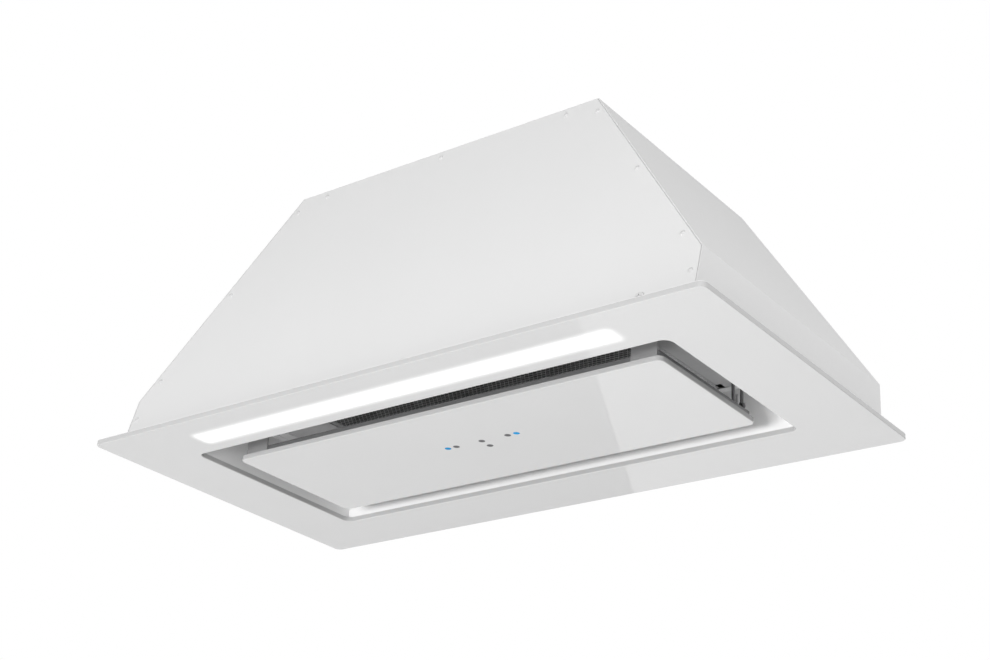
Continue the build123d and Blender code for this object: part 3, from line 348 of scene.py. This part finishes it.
def soft_window_group():
    """A rectangle with rounded, soft edges around a centre on the XY plane."""
    group, start, end = new_group(
        "soft window",
        [("Vector", "NodeSocketVector", None), ("Centre Y", "NodeSocketFloat", 0.0),
         ("Half length", "NodeSocketFloat", 0.3), ("Half width", "NodeSocketFloat", 0.01),
         ("Fade", "NodeSocketFloat", 0.004)],
        [("Mask", "NodeSocketFloat")])
    parts = group.nodes.new("ShaderNodeSeparateXYZ")
    group.links.new(start.outputs["Vector"], parts.inputs[0])
    from_centre_y = math_node(group, "SUBTRACT", parts.outputs["Y"], start.outputs["Centre Y"])
    beyond = []
    for offset, half in ((parts.outputs["X"], "Half length"), (from_centre_y, "Half width")):
        distance = math_node(group, "ABSOLUTE", offset, None)
        outside = math_node(group, "SUBTRACT", distance, start.outputs[half])
        outside = math_node(group, "MAXIMUM", outside, 0.0)
        beyond.append(math_node(group, "MULTIPLY", outside, outside))
    away = math_node(group, "SQRT", math_node(group, "ADD", beyond[0], beyond[1]), None)
    share = math_node(group, "DIVIDE", away, start.outputs["Fade"])
    step = group.nodes.new("ShaderNodeMapRange")
    step.interpolation_type = "SMOOTHSTEP"
    group.links.new(share, step.inputs["Value"])
    step.inputs["To Min"].default_value = 1.0
    step.inputs["To Max"].default_value = 0.0
    group.links.new(step.outputs["Result"], end.inputs["Mask"])
    return group


def foil_facet_light_group():
    """Painted facet light: cells of foil painted light or dark, as if lit by how they lie."""
    group, start, end = new_group(
        "foil with painted facet light and shade",
        [("Vector", "NodeSocketVector", None), ("Cells per metre", "NodeSocketFloat", 160.0)],
        [("Tone", "NodeSocketFloat"), ("Roughness", "NodeSocketFloat"), ("Height", "NodeSocketFloat")])
    cells = group.nodes.new("ShaderNodeTexVoronoi")
    group.links.new(start.outputs["Vector"], cells.inputs["Vector"])
    group.links.new(start.outputs["Cells per metre"], cells.inputs["Scale"])
    # Each cell's tone is painted facet light, lighter or darker at random.
    lie = noise_node(group, cells.outputs["Position"], 700.0, 1.0, 0.5)
    group.links.new(ranged(group, lie, 0.3, 0.7, 0.5, 1.5), end.inputs["Tone"])
    group.links.new(ranged(group, lie, 0.3, 0.7, 0.3, 0.5), end.inputs["Roughness"])
    group.links.new(cells.outputs["Distance"], end.inputs["Height"])
    return group


powder_coat = powder_coat_group()
rolled_sheet = rolled_sheet_group()
moulded_grain = moulded_grain_group()
soft_window = soft_window_group()
foil_facet_light = foil_facet_light_group()
print("shared effects:", [group.name for group in bpy.data.node_groups])

# %% Start a material


def new_material(name):
    """A material with its tree, its Principled shader and its object coordinates."""
    material = bpy.data.materials.new(name)
    material.use_nodes = True
    tree = material.node_tree
    coordinates = tree.nodes.new("ShaderNodeTexCoord")
    return material, tree, tree.nodes["Principled BSDF"], coordinates.outputs["Object"]


def place_group(tree, group, vector, **values):
    """A group node fed with coordinates and this material's own values."""
    node = tree.nodes.new("ShaderNodeGroup")
    node.node_tree = group
    tree.links.new(vector, node.inputs["Vector"])
    for label, value in values.items():
        node.inputs[label.replace("_", " ")].default_value = value
    return node


def toned(tree, tone, colour):
    """A colour multiplied by a tone that varies over the surface."""
    node = tree.nodes.new("ShaderNodeVectorMath")
    node.operation = "SCALE"
    node.inputs[0].default_value = colour
    tree.links.new(tone, node.inputs["Scale"])
    return node.outputs[0]


def bumped(tree, shader, height, distance, strength):
    """A bump from a height to the shader's normal."""
    node = tree.nodes.new("ShaderNodeBump")
    node.inputs["Distance"].default_value = distance
    node.inputs["Strength"].default_value = strength
    tree.links.new(height, node.inputs["Height"])
    tree.links.new(node.outputs["Normal"], shader.inputs["Normal"])
    return node


# %% [markdown]
# ## White finishes
#
# The frame and the panel are clear glass with white enamel behind it, so the colour lies under
# a smooth clear coat that mirrors the studio. Real transparent glass would need a second layer
# of enamel, for the same look. The edges of the glass are painted greyer than its face, partly
# as glass edges look and partly as painted shade, and the height of a point tells them apart.
# The sheet metal has a satin powder coat, and the recess, which gets little light, a brighter
# copy of it as painted light. Numbers that are the same all over a surface sit on the
# shader's own sockets; what varies comes from a group.

# %% White finishes
glass_white = (0.74, 0.74, 0.74)
frame_edge_grey_and_shade = 0.71
panel_edge_grey_and_shade = 0.66
glass_edge_start = 0.02 * mm
glass_edge_end = 0.3 * mm
paint_white = (0.775, 0.775, 0.775)
recess_white_with_painted_light = (0.93, 0.93, 0.93)
paint_gloss = 0.3
light_row_y = -180.5 * mm
light_half_length = 297.0 * mm
light_half_width = 7.5 * mm
light_fade = 19.0 * mm
light_glow = 0.75


def painted_glass(name, edge_grey_and_shade, with_light):
    """Clear glass over white enamel; the frame's enamel leaves a window for the light."""
    material, tree, shader, vector = new_material(name)
    coat = place_group(tree, powder_coat, vector, Pebbles_per_metre=40.0)
    place = tree.nodes.new("ShaderNodeSeparateXYZ")
    tree.links.new(vector, place.inputs[0])
    # Edges above the face are painted darker: partly the glass's own grey edge, partly painted shade.
    edge_grey_and_shade_ramp = ranged(tree, place.outputs["Z"], glass_edge_start, glass_edge_end, 1.0, edge_grey_and_shade)
    tone = math_node(tree, "MULTIPLY", coat.outputs["Tone"], edge_grey_and_shade_ramp)
    tree.links.new(toned(tree, tone, glass_white), shader.inputs["Base Color"])
    shader.inputs["Roughness"].default_value = 0.3
    shader.inputs["Specular IOR Level"].default_value = 0.0
    shader.inputs["Coat Weight"].default_value = 1.0
    shader.inputs["Coat Roughness"].default_value = 0.02
    shader.inputs["Coat IOR"].default_value = 1.52
    if with_light:
        window = place_group(tree, soft_window, vector, Centre_Y=light_row_y,
                             Half_length=light_half_length, Half_width=light_half_width,
                             Fade=light_fade)
        glow = math_node(tree, "MULTIPLY", window.outputs["Mask"], window.outputs["Mask"])
        tree.links.new(glow, shader.inputs["Emission Color"])
        shader.inputs["Emission Strength"].default_value = light_glow
    return material


def white_paint(name, colour):
    """Satin powder coat on sheet steel."""
    material, tree, shader, vector = new_material(name)
    coat = place_group(tree, powder_coat, vector, Pebbles_per_metre=700.0)
    tree.links.new(toned(tree, coat.outputs["Tone"], colour), shader.inputs["Base Color"])
    tree.links.new(coat.outputs["Roughness"], shader.inputs["Roughness"])
    shader.inputs["Specular IOR Level"].default_value = paint_gloss
    bumped(tree, shader, coat.outputs["Height"], 0.0001, 0.25)
    return material


# %% [markdown]
# ## Metals and plastics
#
# Zinc-coated sheet is dull with oxide, so it is half metallic, and its streaks run along the
# sheet. The foil pad uses cells. The small lenses are clear mouldings over a lamp, so they glow
# in their own colour. Every plastic is the same moulded grain in another colour.

# %% Metals and plastics


def sheet_metal(name, colour, contrast, metallic=1.0):
    """Rolled sheet with streaks along X; dull oxide makes it less metallic."""
    material, tree, shader, vector = new_material(name)
    sheet = place_group(tree, rolled_sheet, vector, Contrast=contrast)
    tree.links.new(toned(tree, sheet.outputs["Tone"], colour), shader.inputs["Base Color"])
    tree.links.new(sheet.outputs["Roughness"], shader.inputs["Roughness"])
    shader.inputs["Metallic"].default_value = metallic
    bumped(tree, shader, sheet.outputs["Height"], 0.00005, 0.3)
    return material


def foil_pad(name, colour):
    """A pad of many crumpled foils behind the mesh."""
    material, tree, shader, vector = new_material(name)
    foil = place_group(tree, foil_facet_light, vector)
    tree.links.new(toned(tree, foil.outputs["Tone"], colour), shader.inputs["Base Color"])
    tree.links.new(foil.outputs["Roughness"], shader.inputs["Roughness"])
    shader.inputs["Metallic"].default_value = 0.4
    bumped(tree, shader, foil.outputs["Height"], 0.001, 0.5)
    return material


def moulded_plastic(name, colour):
    """Matt moulded plastic."""
    material, tree, shader, vector = new_material(name)
    grain = place_group(tree, moulded_grain, vector)
    tree.links.new(toned(tree, grain.outputs["Tone"], colour), shader.inputs["Base Color"])
    tree.links.new(grain.outputs["Roughness"], shader.inputs["Roughness"])
    bumped(tree, shader, grain.outputs["Height"], 0.0001, 0.3)
    return material


def glowing_lens(name, colour, glow):
    """A small clear moulding that a lamp shines through."""
    material, tree, shader, vector = new_material(name)
    grain = place_group(tree, moulded_grain, vector)
    tree.links.new(toned(tree, grain.outputs["Tone"], colour), shader.inputs["Base Color"])
    shader.inputs["Roughness"].default_value = 0.12
    tree.links.new(toned(tree, grain.outputs["Tone"], colour), shader.inputs["Emission Color"])
    shader.inputs["Emission Strength"].default_value = glow
    return material


finishes = {
    "white_glass": painted_glass("white glass", panel_edge_grey_and_shade, False),
    "white_paint": white_paint("white powder coat", paint_white),
    # The rivets' grey is painted shade, so they still show under the flat light.
    "rivet_metal": white_paint("rivets darkened as painted shade", (0.66, 0.66, 0.66)),
    "screw_steel": white_paint("painted screws", (0.7, 0.7, 0.7)),
    "zinc_steel": sheet_metal("zinc-coated sheet", (0.72, 0.72, 0.725), 0.12, 0.5),
    "spring_steel": sheet_metal("spring steel", (0.5, 0.5, 0.51), 0.08),
    "dark_steel": sheet_metal("blackened steel", (0.12, 0.12, 0.125), 0.1),
    "aluminium": sheet_metal("satin aluminium", (0.7, 0.705, 0.71), 0.08),
    "mesh_metal": sheet_metal("expanded aluminium", (0.9, 0.9, 0.905), 0.2, 0.15),
    "seal_foam": moulded_plastic("seal foam", (0.10, 0.10, 0.105)),
    "motor_metal": sheet_metal("motor sheet", (0.4, 0.41, 0.42), 0.1),
    "magnet": sheet_metal("nickel plate", (0.6, 0.6, 0.61), 0.05),
    "black_plastic": moulded_plastic("black plastic", (0.03, 0.03, 0.033)),
    "grey_plastic": moulded_plastic("grey plastic", (0.35, 0.36, 0.37)),
    "nylon": moulded_plastic("natural nylon", (0.7, 0.69, 0.64)),
    "diffuser": moulded_plastic("opal acrylic", (0.85, 0.85, 0.85)),
    "circuit_board": moulded_plastic("green laminate", (0.03, 0.16, 0.07)),
    "light_chip": moulded_plastic("phosphor resin", (0.8, 0.75, 0.4)),
    "blue_lens": glowing_lens("blue lens", (0.004, 0.19, 0.41), 0.55),
    "grey_lens": moulded_plastic("smoked lens", (0.12, 0.12, 0.125)),
}
print("finishes:", len(finishes))

# %% [markdown]
# ## Dressing the solids
#
# The record names a material slot for each node, so one table of finishes dresses them all. A
# few nodes then get a finish of their own: the frame with its light, the recess with painted
# light, the pad with painted shade, and two dull sheets in the gap, the tray darkened as painted
# shade and the brackets. The meshes themselves are left as they were packed.

# %% Give every CAD node its finish
slot_of = {part["node"]: part["material_slot"] for part in frame["record"]["subparts"]}


def wear(node, material):
    """Puts one material in a CAD object's slots."""
    if not node.material_slots:
        node.data.materials.append(material)
    for slot in node.material_slots:
        slot.material = material


for name, node in nodes.items():
    wear(node, finishes[slot_of[name]])
wear(nodes["glass_frame"], painted_glass("white glass with light", frame_edge_grey_and_shade, True))
# A brighter copy of the white paint: painted light for the recess, which gets little light.
recess_paint_with_painted_light = white_paint("recess paint with painted light", recess_white_with_painted_light)
for name in ("recess_long_walls", "recess_short_walls", "shelf_rails"):
    wear(nodes[name], recess_paint_with_painted_light)
# The pad's dark grey is painted shade for the depth behind the mesh.
wear(nodes["filter_pad"], foil_pad("foil with painted facet light and shade", (0.24, 0.24, 0.242)))
# The tray's dark grey is painted shade, so it reads like the shadowed gap.
wear(nodes["panel_tray"], sheet_metal("zinc darkened as painted shade", (0.22, 0.22, 0.223), 0.12, 0.5))
wear(nodes["catch_brackets"], sheet_metal("bracket sheet", (0.42, 0.42, 0.425), 0.12, 0.5))
print("dressed nodes:", len(nodes))

# %% [markdown]
# ## The filter's expanded mesh
#
# Expanded metal is slit and stretched, so it is all diamonds whose strands are slightly
# twisted. A texture would show no depth from below. One diamond is inset to a ring, rows and
# columns of it are merged, and a thickness is added at the end, so a cell costs few faces.

# %% Weave the mesh
mesh_pitch_x = 6.1 * mm
mesh_pitch_y = 9.7 * mm
mesh_strand = 1.5 * mm
mesh_twist = 0.35 * mm
mesh_sheet = 0.5 * mm
mesh_merge = 0.01 * mm


def repeated(shape, geometry, step, count):
    """Copies the geometry again and again, each copy a step further."""
    last = geometry
    everything = list(geometry)
    for _ in range(count - 1):
        copy = bmesh.ops.duplicate(shape, geom=last)["geom"]
        moved = [item for item in copy if isinstance(item, bmesh.types.BMVert)]
        bmesh.ops.translate(shape, vec=step, verts=moved)
        everything += copy
        last = copy
    return everything


def geometry_of(shape):
    """Every vertex, edge and face of a bmesh."""
    return shape.verts[:] + shape.edges[:] + shape.faces[:]


def as_object(shape, name, material):
    """A finished bmesh as an object at the origin."""
    mesh = bpy.data.meshes.new(name)
    shape.to_mesh(mesh)
    shape.free()
    piece = bpy.data.objects.new(name, mesh)
    piece.data.materials.append(material)
    bpy.context.scene.collection.objects.link(piece)
    return piece


def diamond_ring(shape, half_x, half_y):
    """One diamond of strands with twisted inner edges."""
    places = ((-half_x, 0, 0), (0, -half_y, 0), (half_x, 0, 0), (0, half_y, 0))
    face = shape.faces.new([shape.verts.new(place) for place in places])
    bmesh.ops.inset_individual(shape, faces=[face], thickness=mesh_strand / 2)
    for vertex in face.verts:
        vertex.co.z = mesh_twist * vertex.co.y / half_y
    bmesh.ops.delete(shape, geom=[face], context="FACES_ONLY")


def expanded_mesh():
    """The whole sheet, cut to the size of the solid that it stands for."""
    low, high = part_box("filter_mesh")
    columns = math.ceil((high.x - low.x) / mesh_pitch_x) + 1
    rows = math.ceil((high.y - low.y) / mesh_pitch_y) + 1
    shape = bmesh.new()
    diamond_ring(shape, mesh_pitch_x / 2, mesh_pitch_y / 2)
    row = repeated(shape, geometry_of(shape), (mesh_pitch_x, 0, 0), columns)
    offset_row = bmesh.ops.duplicate(shape, geom=row)["geom"]
    shifted = [item for item in offset_row if isinstance(item, bmesh.types.BMVert)]
    bmesh.ops.translate(shape, vec=(mesh_pitch_x / 2, mesh_pitch_y / 2, 0), verts=shifted)
    repeated(shape, geometry_of(shape), (0, mesh_pitch_y, 0), rows)
    bmesh.ops.remove_doubles(shape, verts=shape.verts, dist=mesh_merge)
    middle = (low + high) / 2
    start = Vector((middle.x - columns * mesh_pitch_x / 2, middle.y - rows * mesh_pitch_y / 2, middle.z))
    bmesh.ops.translate(shape, vec=start, verts=shape.verts)
    for axis in (Vector((1, 0, 0)), Vector((0, 1, 0))):
        for corner, outward in ((low, -axis), (high, axis)):
            bmesh.ops.bisect_plane(shape, geom=geometry_of(shape), plane_co=corner, plane_no=outward,
                                   clear_outer=True)
    bmesh.ops.solidify(shape, geom=shape.faces[:], thickness=mesh_sheet)
    bmesh.ops.recalc_face_normals(shape, faces=shape.faces)
    print("mesh faces:", len(shape.faces))
    return as_object(shape, "expanded_mesh", finishes["mesh_metal"])


mesh_piece = expanded_mesh()
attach(mesh_piece, "filter")
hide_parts("filter_mesh")
